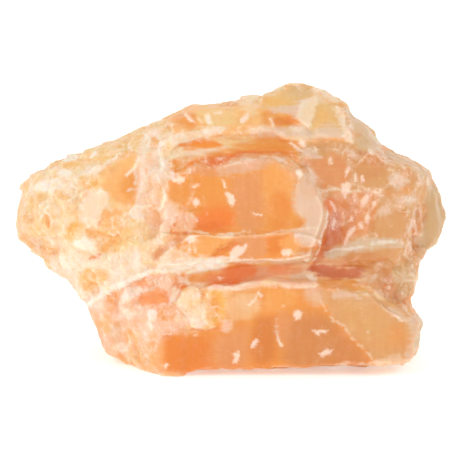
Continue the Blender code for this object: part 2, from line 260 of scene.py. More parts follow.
# Beds, flakes and hollows of the front: height in millimetres, softness in pixels, outline
RELIEFS = drawn("""
0.7 2.5: 84,303 104,288 132,276 150,268 165,264 184,262 200,263 230,259 290,257 312,254 311,261 290,263
  240,265 222,268 205,271 185,273 165,274 146,276 120,288 92,305;
0.8 1.6: 168,250 186,236 205,235 230,236 262,234 296,231 322,239 316,248 312,258 232,260 200,263 160,266
  150,262;
0.45 1.2: 296,168 306,171 313,170 319,186 325,194 324,204 329,214 327,228 321,240 317,247 294,247 294,231
  305,225 300,216 293,208 294,190 298,182;
-0.5 4: 184,168 190,160 205,157 224,154 250,151 288,150 300,160 286,158 255,158 235,161 222,165 214,168
  206,166 196,165;
0.25 6: 164,131 177,136 196,129 225,125 262,128 300,128 345,132 346,138 310,138 250,137 226,133 205,137
  185,142 176,149 169,146;
-0.4 6: 176,146 188,141 206,139 220,142 223,147 205,150 188,149;
0.5 1.5: 79,193 96,189 108,191 110,199 105,209 101,221 97,229 88,227 80,219 77,205;
0.4 5: 71,243 84,235 91,238 100,250 92,252 80,249;
0.3 4: 127,208 142,201 158,208 161,218 148,224 132,219;
0.4 1.5: 180,208 189,209 196,215 200,223 192,231 180,232 173,231 170,222 177,213;
0.8 2: 171,304 180,298 184,288 196,285 202,294 202,310 194,315 186,314 179,309;
0.5 1.5: 189,319 196,313 208,316 209,326 200,330 190,328;
-0.35 3: 137,298 148,289 159,287 171,296 169,302 158,305 146,308 139,304;
-0.5 5: 108,168 136,154 140,182 130,204 112,200;
0.4 1.2: 300,103 312,97 318,94 319,103 313,118 310,129 302,124 295,116 298,108;
0.4 1.5: 206,286 240,286 256,279 266,276 284,280 318,281 318,289 280,287 256,288 240,291 208,290;
-0.4 1.5: 186,240 200,236 231,238 222,246 212,256 205,261 190,261 180,254;
0.5 2: 54,192 66,192 76,204 77,220 66,217 60,206;
0.4 2: 27,188 40,182 52,178 62,178 66,184 58,190 40,193;
0.4 1.5: 122,309 134,306 139,314 132,321 124,318""")

# Open gaps: depth in millimetres, width in pixels, and the line that each follows
GAPS = drawn("""
0.35 1.6: 178,217 175,226;
0.35 1.6: 184,215 187,224;
0.35 1.6: 201,208 190,212;
0.5 1.2: 103,211 102,218 99,226;
0.5 1.2: 290,158 300,166 306,174;
0.7 1.5: 165,232 180,234 190,233;
0.3 1.6: 190,329 206,333 218,328;
0.4 1.3: 310,139 330,141 345,142;
0.5 1.5: 87,260 98,258 107,253;
0.5 1.3: 206,261 222,249 236,240;
0.15 1.2: 152,258 160,246 174,238;
0.5 1.4: 172,300 178,309 186,316""")

# Bruises where the stone was knocked: small flecks, each a closed outline, some white, some faint
WHITE_FLECKS = drawn("""
182,110 187,112 193,118 196,124 190,123 185,118;
195,117 199,116 203,123 200,124;
203,115 209,112 212,118 213,125 208,126 204,122;
200,130 208,127 209,133 204,137;
212,112 222,110 223,114 214,115;
239,119 246,113 250,111 249,120 244,125 240,124;
267,118 272,117 275,125 273,129 270,123;
239,136 240,131 243,133;
186,174 188,167 192,167 191,173 187,178;
167,171 173,169 178,176 186,177 184,182 179,185 172,182 170,175;
223,191 228,191 235,195 237,201 235,206 231,208 227,202;
220,178 225,179 228,188 224,189;
191,186 196,183 201,184 200,187 192,189;
250,211 257,213 264,214 263,217 254,216;
192,199 196,197 201,201 200,205 195,208 191,204;
203,194 204,194 205,204 203,204;
205,210 208,213 206,216;
295,168 301,171 304,177 299,179 295,174;
184,238 190,233 197,236 197,241 190,245 186,242;
193,246 197,245 198,253 194,254;
228,252 234,246 239,243 241,246 246,241 249,246 244,254 238,258 230,261;
280,252 284,248 291,249 294,253 288,257 282,256;
216,278 219,276 224,278 220,281;
304,275 312,272 319,279 316,287 311,283;
297,143 301,138 306,141 307,149 301,147;
287,143 292,141 304,152 299,153;
312,145 318,147 321,151 316,152;
327,158 331,155 334,165 328,166;
346,168 351,165 350,173 345,179 344,172;
353,176 356,171 359,182 354,184;
359,175 363,175 366,181 361,185;
292,314 297,308 304,312 301,320 295,321;
309,328 322,329 331,329 326,335 321,333 320,338 315,334;
317,354 326,348 334,349 331,355 322,358;
251,342 256,337 260,341 256,348 250,351;
228,350 233,353 238,349 242,355 238,364 231,364 234,357;
281,305 284,304 285,307 282,308;
366,331 370,330 370,334 367,334;
192,335 198,333 198,336 193,337;
161,366 167,362 172,365 166,370;
276,332 279,338 285,346 280,348 276,341;
328,284 336,285 344,289 338,290;
393,312 398,315 404,321 400,322 395,317;
254,294 259,290 264,295 262,300 258,296;
247,304 256,296 258,299 250,307;
206,286 222,285 240,288 240,291 222,288""")
FAINT_FLECKS = drawn("""
340,184 348,180 353,184 350,193 345,200 341,194;
376,154 385,159 398,164 397,166 384,162 375,157;
373,187 378,190 379,185 383,189 380,196 375,195;
395,204 404,206 404,209 395,207;
403,198 415,200 415,202 403,201;
390,225 393,225 392,228;
328,199 333,202 337,208 337,214 333,212 329,205;
330,221 334,215 337,220 335,231 331,229;
347,223 350,214 354,215 353,222;
341,212 344,211 344,219 341,219;
352,194 357,191 357,202 353,205;
360,200 366,193 373,194 368,204 361,209;
371,202 376,198 378,205 372,211;
364,215 369,209 371,220 367,225 364,221;
357,221 362,221 366,230 359,230;
347,229 356,225 358,229 350,237 347,246 342,247;
89,155 95,150 97,152 91,157;
103,163 112,158 124,150 125,152 112,161;
80,174 90,168 92,170 82,176;
126,174 133,167 139,159 141,161 134,171 128,176;
144,134 147,133 150,141 146,151 145,149 148,141;
160,140 162,140 164,160 162,176 160,176 162,158;
158,204 163,196 165,200 161,212;
47,212 50,212 54,224 51,232;
82,217 85,217 90,225 98,227 97,230 88,229""")
FLECK_REACH = 4.0
FLECK_EDGE = 0.8
FLECK_HEIGHT = 0.14

# The sides and the back broke into wide plates, and the rubble into chips in three sizes. Each has
# its width and depth in millimetres, how far it turns towards the cleavage, and its seed.
PLATES = (15.0, 2.0, 0.75, 10)
CHIPS = [(6.5, 1.0, 0.6, 11), (3.2, 0.45, 0.6, 12), (1.7, 0.16, 0.5, 13)]
CHIP_TILT = 0.14
CHIP_CURVE = 0.3
CHIP_LIFT = (-0.5, 0.4)
CREST_WIDTH = 0.5
PATTERN_SHIFT = 50
CLEAVAGE_CHOICE = 0.2
CLEAVAGE_LEAN = np.radians(44.6)
# Clean faces as wide as a thumb lie among the plates, and patches of coarse rubble among the fine
CLEAN_FACE_SIZE = 13.0
CLEAN_FACE_CALM = 0.85
RUBBLE_SIZE = 9.0


def cleavage_planes():
    """Calcite's three cleavage normals, 75 degrees apart, near the front, the top and the right."""
    axis = np.array((1.0, -1.0, 1.0)) / np.sqrt(3)
    planes = []
    for towards in ((0, -1, 0), (0, 0, 1), (1, 0, 0)):
        aside = np.array(towards) - axis * (axis @ towards)
        aside = aside / np.linalg.norm(aside)
        planes.append(np.cos(CLEAVAGE_LEAN) * axis + np.sin(CLEAVAGE_LEAN) * aside)
    return np.array(planes)


def unit(vectors):
    return vectors / (np.linalg.norm(vectors, axis=1, keepdims=True) + 1e-9)


def waves(points, size):
    """Smooth noise from -1 to 1 whose waves are about size millimetres long."""
    return np.array([noise.noise(Vector(p) / size) for p in points])


def drift(points, size):
    """Smooth shifts, one vector for each point, that change over about size millimetres."""
    return np.array([noise.noise_vector(Vector(p) / size) for p in points])


def wander(points, *ripples):
    """Smooth shifts for places on the front, from ripples so many pixels high and millimetres long."""
    return sum(high * drift(points, size)[:, :2] for high, size in ripples)


def nearby(places, outline, margin):
    low = np.min(outline, axis=0) - margin
    high = np.max(outline, axis=0) + margin
    return np.flatnonzero(np.all((places > low) & (places < high), axis=1))


def mean_of(cell, values):
    sums = [np.bincount(cell, values[:, column]) for column in range(3)]
    return np.stack(sums, axis=1) / np.bincount(cell)[:, None]


def chip(points, normals, ragged, size, depth, turn, seed):
    """Breaks the skin into flat chips about size wide, turned towards the cleavage.

    Also gives each point the middle of its chip, the chip's tone and how near its edge it is."""
    rng = np.random.default_rng(seed)
    noise.seed_set(seed)
    shift = rng.uniform(-PATTERN_SHIFT, PATTERN_SHIFT, 3)
    spots = points / size + shift + CHIP_CURVE * drift(points, 2 * size)
    near, centres = zip(*[noise.voronoi(Vector(spot)) for spot in spots])
    centres = np.round(np.array([found[0] for found in centres]), 4)
    _, cell = np.unique(centres, axis=0, return_inverse=True)
    cell = cell.reshape(-1)
    middle = mean_of(cell, points)
    facing = unit(mean_of(cell, normals))
    planes = np.concatenate([cleavage_planes(), -cleavage_planes()])
    choice = facing @ planes.T + rng.normal(0, CLEAVAGE_CHOICE, (len(middle), len(planes)))
    target = planes[np.argmax(choice, axis=1)]
    flat = unit(facing * (1 - turn) + target * turn + rng.normal(0, CHIP_TILT, target.shape))
    lift = rng.uniform(*CHIP_LIFT, len(middle)) * depth
    rise = lift[cell] - np.einsum("ij,ij->i", points - middle[cell], flat[cell])
    push = np.clip(rise, -depth, 0.5 * depth) * ragged
    from_edge = np.array([apart[1] - apart[0] for apart in near]) * size / 2
    crest = 1 - step(from_edge, 0, CREST_WIDTH)
    tone = rng.uniform(-1, 1, len(middle))
    return points + flat[cell] * push[:, None], middle[cell], tone[cell], crest


# The cleft, the hollow over the foot and the shelf above the block are smoother than the solid's:
# how far each is filled, how far its lips are worn down, and where it lies
FILLS = drawn("""
0.85 1: 306,164 322,152 350,164 368,188 368,244 342,268 312,272 310,256 320,232 327,212 319,190;
0.8 0.4: 118,286 134,276 152,270 172,272 178,292 172,308 146,310 130,300;
0.8 0: 158,138 200,134 250,134 300,138 314,160 290,168 250,168 215,174 185,180 160,174""")
FILL_SOFTNESS = 4.0
FILL_ROUNDS = 300
LIP_HEIGHT = 0.4
# Small nudges of the outline: place and reach in pixels, shift to the right and up in millimetres
NUDGES = [
    ((16, 206), 13, -1.4, 0.0), ((262, 90), 13, 0.0, 0.7), ((300, 85), 13, 0.0, 0.6),
    ((360, 122), 13, 0.9, 0.5), ((395, 150), 10, -0.4, -1.0), ((444, 227), 8, 1.2, 0.0),
    ((421, 320), 8, 1.2, 0.0), ((410, 303), 5, -0.6, 0.0), ((68, 157), 9, -0.2, 0.7),
    ((44, 258), 9, 0.4, 0.3), ((116, 362), 8, 0.5, 0.6), ((86, 308), 8, 0.4, 0.0),
    ((43, 168), 9, 0.3, -0.6), ((125, 135), 9, 0.1, -0.6), ((232, 100), 10, 0.0, -0.5),
    ((316, 88), 8, 0.3, 0.6), ((340, 97), 7, -0.4, -0.5), ((353, 110), 7, 0.5, 0.3),
    ((443, 203), 8, -0.7, 0.0), ((434, 246), 7, -0.5, 0.4),
]
places = seen(points)
for place, reach, right, up in NUDGES:
    pull = np.exp(-np.sum((places - place) ** 2, axis=1) / reach ** 2)
    points += np.outer(pull, (right, 0, up))
set_points(stone, points)

places = seen(points)
shift = softened(points, edges_of(stone), FILL_ROUNDS) - points
forward = step(shift @ -sight, 0, LIP_HEIGHT)
for share, worn, outline in FILLS:
    inside = step(depth_inside(places, rounded(outline)), -FILL_SOFTNESS, FILL_SOFTNESS)
    filled = share * inside * np.maximum(forward, worn) * (points[:, 1] < 0)
    points += shift * filled[:, None]
set_points(stone, points)

# A point faces the camera where the cosine of its normal's angle to the sight is above this
FACING = 0.2
places = seen(points)
towards_camera = normals_of(stone) @ -sight
calm = np.full(len(points), EVERYWHERE_CALM)
for at, (outline,) in enumerate(CALM_FACES + CALMER_PLACES):
    inside = step(depth_inside(places, rounded(outline)), -CALM_SOFTNESS, CALM_SOFTNESS)
    most = 1.0 if at < len(CALM_FACES) else CALMER
    calm = np.maximum(calm, most * inside * (towards_camera > FACING))

# All that is drawn wanders by a pixel or so, so that no edge on the stone is even. It fades where
# the front turns away, and rises more towards the camera than straight out of the skin.
FADES_OUT = (0.05, 0.3)
EDGE_MARGIN = 3
FORWARD_LEAN = 1.5
noise.seed_set(3)
flow = wander(points, (1.2, 1.6), (1.2, 4.5))
height = np.zeros(len(points))
for rise, soft, outline in RELIEFS:
    outline = rounded(outline)
    near = nearby(places, outline, soft + EDGE_MARGIN)
    depth = depth_inside(places[near] + flow[near], outline)
    height[near] += rise * step(depth, -soft / 2, soft / 2)
for fall, width, path in GAPS:
    near = nearby(places, path, 2 * width + EDGE_MARGIN)
    height[near] -= fall * (1 - step(distance_to_path(places[near] + flow[near], path), 0, width))
bruise = np.full(len(points), -FLECK_REACH)
faint = np.zeros(len(points))
for at, (outline,) in enumerate(WHITE_FLECKS + FAINT_FLECKS):
    near = nearby(places, outline, FLECK_REACH)
    near = near[towards_camera[near] > FACING]
    depth = depth_inside(places[near] + 0.5 * flow[near], outline)
    nearer = near[depth > bruise[near]]
    faint[nearer] = at >= len(WHITE_FLECKS)
    bruise[near] = np.maximum(bruise[near], depth)
height += FLECK_HEIGHT * step(bruise, -FLECK_EDGE, FLECK_EDGE)
outward = unit(normals_of(stone) - FORWARD_LEAN * sight)
points += outward * (height * step(towards_camera, *FADES_OUT))[:, None]
set_points(stone, points)

# The plates come first, where the camera doesn't look, and then the chips, from the coarse to the
# fine. The underside stays flat: they start a little above the ground. Each size has its share in
# how pale or deep a chip is, and the middle one carries the stains along.
TURNED_AWAY = (-0.3, 0.0)
ABOVE_GROUND = (0.3, 1.5)
CHIP_TONES = (0.5, 0.7, 0.4)
PLATE_TONE = 0.9
CREST_BREAKS = 2.2
unseen = 1 - step(towards_camera, *TURNED_AWAY)
clean_face = step(waves(points, CLEAN_FACE_SIZE), -0.05, 0.2)
calm = np.maximum(calm, CLEAN_FACE_CALM * unseen * clean_face)
patches = np.clip(0.6 + 1.6 * waves(points, RUBBLE_SIZE), 0.25, 1.0)
ragged = patches * (1 - calm) + CALM_CHIPS * calm
above_ground = step(points[:, 2], *ABOVE_GROUND)
points, _, plate_tone, plate_edge = chip(points, normals_of(stone), unseen * above_ground, *PLATES)
set_points(stone, points)
homes = []
tones = []
crests = []
for size, depth, turn, seed in CHIPS:
    ready = normals_of(stone)
    points, home, tone, crest = chip(points, ready, ragged * above_ground, size, depth, turn, seed)
    set_points(stone, points)
    homes.append(home)
    tones.append(tone)
    crests.append(crest)
home = homes[1]
tone = sum(share * each for share, each in zip(CHIP_TONES, tones)) * (1 - calm)
tone += PLATE_TONE * plate_tone * unseen
crest = np.maximum(crests[0], 0.8 * crests[1]) * (1 - calm)
crest = np.maximum(crest, plate_edge * unseen) * step(waves(points, CREST_BREAKS), -0.15, 0.25)


# Crumbs half fill the narrow creases, below a depth in millimetres. Then each point is measured:
# how proud it stands of the skin close around it, and how far that lies below the skin further
# off. These and the other fields colour the stone later on, so they stay on its points.
CRUMB_DEPTH = 0.12
CRUMB_SHARE = 0.6
SHORT_ROUNDS = 8
LONG_ROUNDS = 160
edges = edges_of(stone)
normals = unit(softened(normals_of(stone), edges, 2))
crease = np.einsum("ij,ij->i", softened(points, edges, SHORT_ROUNDS) - points, normals)
points += normals * (CRUMB_SHARE * np.maximum(crease - CRUMB_DEPTH, 0))[:, None]
set_points(stone, points)
near_skin = softened(points, edges, SHORT_ROUNDS)
far_skin = softened(near_skin, edges, LONG_ROUNDS)
proud = np.einsum("ij,ij->i", points - near_skin, normals)
sunk = np.einsum("ij,ij->i", far_skin - near_skin, normals)

FIELD_PARTS = {"FLOAT": "value", "FLOAT_VECTOR": "vector", "FLOAT_COLOR": "color"}


def set_field(obj, name, values, kind="FLOAT"):
    field = obj.data.attributes.new(name, kind, "POINT")
    field.data.foreach_set(FIELD_PARTS[kind], values.astype(np.float32).ravel())


def get_field(obj, name, width=1):
    field = obj.data.attributes[name]
    flat = np.empty(len(obj.data.vertices) * width, np.float32)
    field.data.foreach_get(FIELD_PARTS[field.data_type], flat)
    return flat.astype(float).reshape(-1, width)


fields = {"proud": proud, "sunk": sunk, "calm": calm, "tone": tone, "crest": crest, "bruise": bruise,
          "faint": faint}
for name, values in fields.items():
    set_field(stone, name, values)
set_field(stone, "home", home, "FLOAT_VECTOR")

# Thin the skin out where the camera doesn't look straight at it
STRAIGHT_ON = 0.3
towards_camera = normals @ -sight
hidden = stone.vertex_groups.new(name="hidden")
hidden.add(np.flatnonzero(towards_camera < STRAIGHT_ON).tolist(), 1.0, "REPLACE")
stone.modifiers.new("triangles", "TRIANGULATE")
decimate = stone.modifiers.new("fewer_faces", "DECIMATE")
decimate.vertex_group = hidden.name
decimate.ratio = min(1.0, MOST_TRIANGLES / (2 * len(points)))
apply_modifiers(stone)
stone.vertex_groups.clear()
stone.data.polygons.foreach_set("use_smooth", np.ones(len(stone.data.polygons), bool))
points = points_of(stone)
normals = normals_of(stone)


# The colours of the stone. Iron stains calcite orange and milky inclusions turn it cream. Deep gaps,
# creases and hollows are painted shade, a deeper and redder orange, and the right of the front is
# painted duller and darker than the left, partly its own colour and partly painted shade away from
# the lamp at the front left. The stains and painted shades lie in layers, from the broadest to the
# finest, each a named colour inside an outline on the front.
NAMED_COLOURS = {
    "ivory": "#fff1e9",
    "cream": "#fee2cd",
    "butter": "#fdd6ad",
    "shell": "#fbd6c2",
    "blush": "#fcc6aa",
    "straw": "#fcd29a",
    "apricot": "#ffc07e",
    "honey": "#f3c083",
    "gold": "#fdbd6a",
    "amber": "#fbb168",
    "orange": "#f6a252",
    "coral": "#ffa76c",
    "flame": "#ff9f48",
    "blaze": "#fb9146",
    "burnt": "#e48a46",
    "deep": "#f28d3c",
    "ember": "#f27d38",
    "rust": "#e2854f",
    "brick": "#dd7850",
    "peach": "#eea26e",
    "copper": "#df935a",
    "tan": "#e6a974",
    "sand": "#dcb083",
    "dusk": "#e4b991",
    "frost": "#f0cbb5",
    "mist": "#e6c7ad",
    "haze": "#edb694",
}

# Each stain or painted shade: colour, strength, softness in pixels and outline
LEFT_WING = drawn("""
straw 0.8 12: 8,215 30,170 110,132 170,105 160,180 150,250 60,285 15,250;
cream 0.35 8: 24,185 60,165 100,160 80,200 78,236 100,240 96,262 50,252 45,215;
blush 0.6 4: 12,218 17,198 24,184 27,184 22,200 21,226 28,238 20,241;
tan 0.45 3: 22,204 34,206 35,228 22,229;
honey 0.7 3: 26,193 46,194 52,199 41,206 26,204;
haze 0.5 8: 20,236 42,236 52,250 56,262 40,258 26,246;
amber 0.7 4: 44,246 58,246 61,252 52,262 45,256;
gold 0.5 4: 54,160 75,161 88,167 72,171 58,168;
ivory 0.8 3: 27,188 40,182 52,178 62,178 66,184 58,190 40,193;
ivory 0.8 2.5: 57,171 68,168 73,173 66,178 58,177;
ivory 0.8 2.5: 61,157 75,153 79,158 70,162 62,161;
cream 0.8 3: 84,170 96,166 99,174 97,180 88,178;
gold 0.8 3: 78,177 92,175 102,181 99,188 86,187;
gold 0.5 5: 54,192 66,192 76,204 77,220 66,217 60,206;
apricot 1 7: 96,172 112,163 136,150 140,165 142,190 134,206 114,202 100,188;
orange 0.8 8: 124,174 134,166 142,182 138,202 127,201 119,188;
cream 0.75 2.5: 79,193 96,189 108,191 110,199 105,209 101,221 97,229 88,227 80,219 77,205;
gold 0.9 2: 72,224 80,221 84,226 77,234 70,239 61,237 66,229;
amber 0.9 2: 86,228 97,229 97,237 90,240 86,235;
ivory 0.85 4: 71,243 76,239 80,240 84,234 88,239 91,238 96,244 100,250 92,252 80,249;
apricot 0.95 6: 99,212 118,206 130,214 123,238 108,251 96,252 99,232;
cream 0.9 3: 127,208 142,201 158,208 161,218 148,224 132,219;
orange 0.5 1.5: 43,213 47,213 50,226 46,229;
butter 0.6 3: 126,222 150,222 166,228 160,236 134,236""")

FIBROUS_STRIP = drawn("""
shell 0.9 7: 136,168 140,144 150,128 163,131 168,165 170,200 168,232 146,232 136,204;
cream 0.7 4: 140,148 150,134 164,140 166,160 154,158 142,160;
amber 0.55 7: 146,184 164,180 170,205 170,230 150,232 144,205;
blush 0.7 5: 164,196 180,200 178,230 166,232;
orange 0.6 4: 166,176 178,184 182,200 172,204 167,190;
amber 0.8 3: 148,136 160,140 160,148 150,148""")

# The last orange, deep and red strips, along the block's top edge, are painted shade where the shelf above
# overhangs the block.
UPPER_SHELF = drawn("""
apricot 0.95 8: 160,118 190,102 240,98 262,108 300,112 305,132 230,140 170,140;
orange 0.9 5: 172,119 180,112 192,110 198,126 182,129 173,126;
straw 0.7 6: 196,108 236,106 236,124 212,130 200,120;
peach 0.7 3: 218,104 238,100 240,106 222,108;
butter 0.7 5: 236,100 252,94 258,104 256,116 244,112;
orange 0.9 4: 260,110 282,110 299,117 303,125 280,129 262,126;
deep 0.6 4: 272,117 292,116 298,125 276,128;
cream 0.95 3: 164,131 177,136 196,129 225,125 226,131 205,137 185,142 176,149 169,146 170,139;
butter 0.9 5: 162,146 176,146 190,152 222,148 238,150 226,156 205,159 184,160 172,166 164,160;
shell 0.8 4: 182,150 212,149 222,151 208,157 184,157;
flame 1 3: 176,146 188,141 206,139 220,142 223,147 205,150 188,149;
straw 0.75 5: 222,138 250,136 262,142 252,152 226,152;
haze 0.5 3: 238,139 249,140 250,147 240,147;
frost 0.8 5: 250,128 286,126 346,130 350,139 312,137 284,136 252,135;
butter 0.5 5: 226,131 250,128 252,136 228,138;
orange 0.85 5: 246,141 262,138 290,139 302,148 288,155 250,156;
deep 0.3 5: 262,144 286,141 290,153 264,155;
orange 0.95 6: 168,160 184,156 204,155 222,150 250,143 264,140 292,140 303,150 302,164 290,158 256,156
  236,160 224,164 214,169 205,164 192,168 186,176 176,178 168,170;
deep 0.9 4: 184,168 190,161 212,156 236,152 262,149 290,150 302,164 286,156 256,156 236,160 224,164 214,169
  205,164 192,168;
ember 0.8 3: 198,163 212,160 232,155 262,151 262,156 240,160 224,164 214,168 205,165;
orange 0.9 3: 176,166 186,164 190,168 184,177 177,175""")

# The blazing orange and red patches just above the small ledge on the block's lower left are painted shade,
# in the corner over the ledge.
FRONT_BLOCK = drawn("""
orange 0.9 4: 168,178 192,170 194,206 178,208 166,200;
orange 1 3: 186,172 192,165 204,163 214,168 224,163 236,159 256,155 284,155 300,168 316,184 326,200 328,216
  322,240 312,262 200,262 166,262 168,232 180,205;
peach 0.8 4: 189,166 204,163 214,168 224,168 220,176 190,177;
peach 0.75 10: 228,176 262,168 266,205 262,232 236,232 232,205;
haze 0.85 4: 214,170 222,165 236,158 256,155 284,155 290,159 282,164 264,168 240,174 222,176;
blush 0.4 6: 242,162 254,161 256,170 244,171;
amber 0.7 9: 266,158 290,164 302,190 296,232 280,232 262,200;
deep 0.55 8: 270,190 288,190 294,226 272,230;
frost 0.35 9: 276,160 290,160 304,176 300,184 284,172;
blaze 1 8: 196,212 212,205 230,206 236,216 232,233 192,234;
ember 0.4 5: 198,220 214,220 226,226 224,233 200,233;
blush 0.7 3: 180,208 189,209 196,215 200,223 192,231 180,232 173,231 170,222 177,213;
shell 0.7 4: 162,206 178,204 176,220 170,232 160,232;
frost 0.9 7: 296,168 306,171 313,170 319,186 325,194 324,204 329,214 327,228 321,240 317,247 294,247
  294,231 305,225 300,216 293,208 294,190 298,182;
haze 0.5 8: 298,174 312,178 318,196 298,196;
orange 0.8 4: 284,214 295,215 306,221 304,226 290,229 284,226;
peach 0.8 5: 233,236 268,234 268,258 240,260 236,250;
deep 0.8 6: 268,235 281,233 291,236 284,244 283,255 268,257;
amber 0.8 4: 276,242 288,236 301,240 300,254 286,257;
copper 0.5 5: 298,247 318,247 314,260 298,258;
amber 0.95 2: 186,237 200,233 231,234 234,238 222,246 212,256 205,263 190,263 174,256 180,244;
butter 0.7 3: 214,234 233,234 230,241 218,240;
cream 0.7 4: 154,250 176,246 190,256 186,264 158,264;
peach 0.9 3: 151,256 160,244 176,236 186,240 176,246 162,254 156,266;
deep 0.95 2.5: 206,261 216,251 234,240 241,243 231,252 216,259""")

CAP = drawn("""
honey 0.95 5: 250,104 262,92 278,84 312,80 330,88 352,108 352,136 312,134 298,112;
gold 0.5 6: 256,102 272,96 292,104 280,107 262,107;
dusk 0.6 8: 286,86 314,84 312,98 292,100;
frost 0.8 3: 256,106 288,107 306,100 300,118 276,111;
cream 0.65 2: 300,103 312,97 318,94 319,103 313,118 310,129 302,124 295,116 298,108;
cream 0.5 5: 312,88 326,87 342,100 330,104 318,100;
honey 0.9 4: 317,105 334,106 339,116 336,126 314,128;
gold 0.4 4: 318,108 330,108 326,124 314,126;
frost 0.7 5: 312,128 342,126 348,138 316,137;
cream 0.7 3: 336,106 341,110 347,128 352,141 349,148 341,130;
dusk 0.95 3: 341,104 353,110 363,122 374,130 384,148 366,152 352,148 347,128;
cream 0.5 3: 366,126 374,130 384,148 378,148 370,136;
tan 0.7 4: 346,126 358,130 360,137 350,138""")

# The right face's duller tan, copper, sand and dusk are partly the stone's own colour and partly painted
# shade on the side away from the lamp. The thin rust strip at the cleft's edge is painted shade.
RIGHT_FACE = drawn("""
tan 1 4: 300,140 350,142 380,148 400,154 432,172 444,205 436,240 418,270 412,300 396,302 350,262 322,262
  326,200 300,166;
peach 0.9 5: 298,156 320,158 346,150 352,186 322,190 312,176;
copper 0.7 5: 348,148 384,148 398,164 384,168 352,162;
copper 0.4 5: 350,164 386,168 384,178 352,182;
frost 0.8 3: 303,146 318,148 323,157 312,158 302,154;
frost 0.7 2: 344,144 352,148 357,154 365,161 356,162 349,156;
dusk 0.7 5: 384,148 404,154 432,170 444,200 430,192 408,168 388,160;
frost 0.6 4: 390,174 399,172 408,180 406,188 392,190 387,180;
orange 0.5 3: 400,186 412,187 412,193 402,193;
frost 0.6 3: 392,195 410,194 417,200 410,207 396,202;
frost 0.6 3: 376,216 380,204 388,203 392,212 386,218;
copper 0.75 5: 412,209 424,205 427,222 421,238 412,262 405,262 407,238;
sand 0.95 4: 425,186 440,184 450,222 438,242 416,266 419,242 427,224;
peach 0.9 4: 350,190 378,190 378,212 370,232 350,240 346,222;
rust 0.35 3: 346,192 356,192 356,228 346,232;
copper 0.7 5: 340,254 378,250 392,262 372,270 344,266;
haze 0.7 4: 320,256 346,258 344,267 318,266;
tan 0.9 6: 388,250 406,248 412,262 400,276 388,268;
copper 0.9 4: 372,270 392,268 400,300 388,302 378,286;
sand 0.8 4: 392,264 406,260 416,272 418,290 406,298 394,290;
copper 0.7 3: 388,298 408,298 412,310 398,308""")

# The rust, red and brick colours in the cleft and in the seam below the white beds are painted shade: the
# recesses are painted a deeper, redder orange.
CLEFT_AND_SEAM = drawn("""
rust 0.35 6: 322,198 330,194 358,194 360,214 354,234 345,249 330,250 318,266 308,268 314,256 318,246 323,234
  329,216 324,206;
ember 0.35 5: 324,198 332,192 346,196 346,214 344,236 334,245 326,254 318,264 308,268 314,258 319,246 323,234
  330,216 326,213;
peach 0.6 4: 332,190 346,190 346,200 336,202;
ember 0.6 3: 323,200 329,197 333,206 332,213 325,211;
brick 0.75 3: 331,213 340,210 342,228 340,243 330,250 322,262 312,268 308,267 315,256 321,244 325,232;
rust 0.8 2.5: 336,236 346,230 342,246 338,243;
peach 0.7 3: 318,257 330,258 350,260 344,266 318,266;
brick 0.9 3: 305,270 316,263 340,267 364,266 368,271 360,280 334,280 318,274;
haze 0.7 4: 356,272 366,268 378,282 386,296 378,292 366,282;
ember 0.65 5: 194,281 204,275 222,271 236,264 260,265 292,265 302,269 290,273 280,278 262,278 246,282 240,286
  212,287;
ember 0.7 9: 228,265 258,265 262,272 246,281 240,285 226,284 222,272;
ember 0.8 3: 206,283 222,279 241,281 238,286 212,287;
haze 0.6 4: 256,265 266,264 268,276 256,277;
orange 0.6 3: 186,276 204,272 212,276 204,286 188,284;
peach 0.7 5: 290,264 303,264 303,272 290,275;
haze 0.7 4: 244,279 262,278 262,285 244,286""")

LOWER_SLAB = drawn("""
orange 1 8: 164,330 200,334 226,314 226,290 260,286 345,284 345,326 382,362 300,372 160,378;
deep 0.8 16: 166,330 206,334 216,346 214,376 166,378 160,350;
amber 0.6 8: 146,330 164,332 164,370 150,372;
peach 0.8 15: 214,334 250,322 250,345 248,372 214,374;
butter 0.5 9: 224,297 250,294 264,299 262,309 256,314 252,319 238,320 226,319 222,308;
butter 0.3 8: 232,292 258,292 262,308 240,310;
amber 0.6 6: 262,288 300,287 297,306 280,313 264,312;
burnt 0.85 10: 256,317 276,316 278,336 273,366 250,366 252,336;
copper 0.85 14: 286,314 330,312 356,340 372,358 366,372 284,372 284,340;
peach 0.6 6: 276,310 292,310 290,346 282,350 276,336;
frost 0.6 10: 298,288 316,284 328,294 324,305 308,302;
tan 0.9 3: 322,300 330,318 345,326 353,340 362,348 370,357 384,364 412,362 422,340 424,318 400,306 378,296
  345,288 322,286;
gold 0.15 10: 328,300 378,302 400,322 392,352 372,354 350,330;
orange 0.45 7: 386,324 406,322 406,346 388,348;
orange 0.7 4: 318,282 345,279 368,280 380,292 345,290 325,288;
frost 0.7 3: 330,292 345,291 358,293 362,301 348,298 332,300;
cream 0.5 3: 384,304 396,308 402,314 416,318 404,323 394,316;
mist 0.75 4: 410,318 418,314 428,318 420,342 416,366 402,366 410,345;
cream 0.45 4: 372,358 410,356 410,368 378,368;
gold 0.95 4: 203,290 224,289 226,315 215,328 204,324;
orange 0.6 4: 206,296 220,296 220,318 208,318;
butter 0.95 2: 171,304 180,298 184,288 196,285 202,294 202,310 194,315 186,314 179,309;
butter 0.9 3: 191,296 205,296 207,318 216,328 206,332 191,327;
cream 0.8 2: 189,319 196,313 208,316 209,326 200,330 190,328;
shell 0.7 4: 220,322 226,318 233,321 230,331 226,333 221,328;
shell 0.6 2: 206,286 240,286 256,281 266,276 284,280 318,281 318,289 280,287 256,288 240,291 208,290;
butter 0.6 3: 256,284 264,277 276,280 278,286 258,288;
frost 0.7 4: 288,272 312,270 318,280 292,281""")
